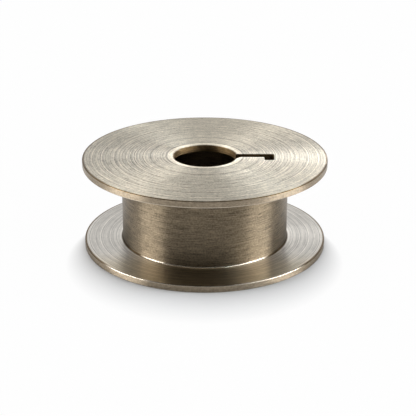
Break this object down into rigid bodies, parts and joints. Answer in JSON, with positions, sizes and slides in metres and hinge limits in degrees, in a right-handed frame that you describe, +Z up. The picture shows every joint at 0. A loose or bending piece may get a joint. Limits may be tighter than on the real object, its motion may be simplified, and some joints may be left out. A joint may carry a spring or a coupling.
{
  "type": "sewing machine bobbin",
  "caption": "Turned steel bobbin for a sewing machine: thin round flanges on a hollow core, bored for a spindle, with a thread slot from the bore to a small eye.",
  "frame": {"origin": "on the bore axis, in the plane of the lower flange face", "axes": "+Z up along the bore axis; the thread slot runs from the bore along +X"},
  "size_m": [0.025, 0.025, 0.0094],
  "materials": {
    "turned_steel": "bare turned metal, fine ring-shaped tool marks, warm grey"
  },
  "bodies": {
    "root": {"bobbin": "turned_steel"}
  },
  "joints": []
}
